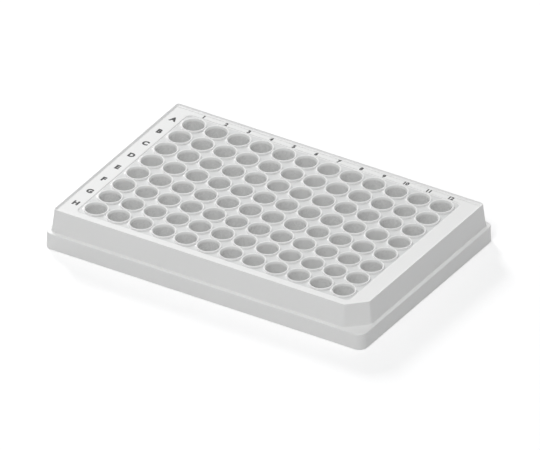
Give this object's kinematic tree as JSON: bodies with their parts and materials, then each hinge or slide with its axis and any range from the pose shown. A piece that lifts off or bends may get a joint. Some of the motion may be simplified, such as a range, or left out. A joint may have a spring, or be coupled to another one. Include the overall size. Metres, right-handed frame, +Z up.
{
  "type": "microplate",
  "caption": "Rectangular moulded plate with a grid of round wells for small liquid samples, a stepped skirt and one cut corner.",
  "frame": {"origin": "middle of the skirt's footprint, on the surface the plate stands on", "axes": "+X along the long side, from column 1 to column 12; +Y along the short side, from row H to row A; +Z up, out of the wells' mouths"},
  "size_m": [0.1278, 0.0854, 0.0147],
  "materials": {
    "plate_plastic": "opaque white injection-moulded polystyrene, smooth satin to low gloss"
  },
  "bodies": {
    "root": {"microplate": "plate_plastic"}
  },
  "joints": []
}
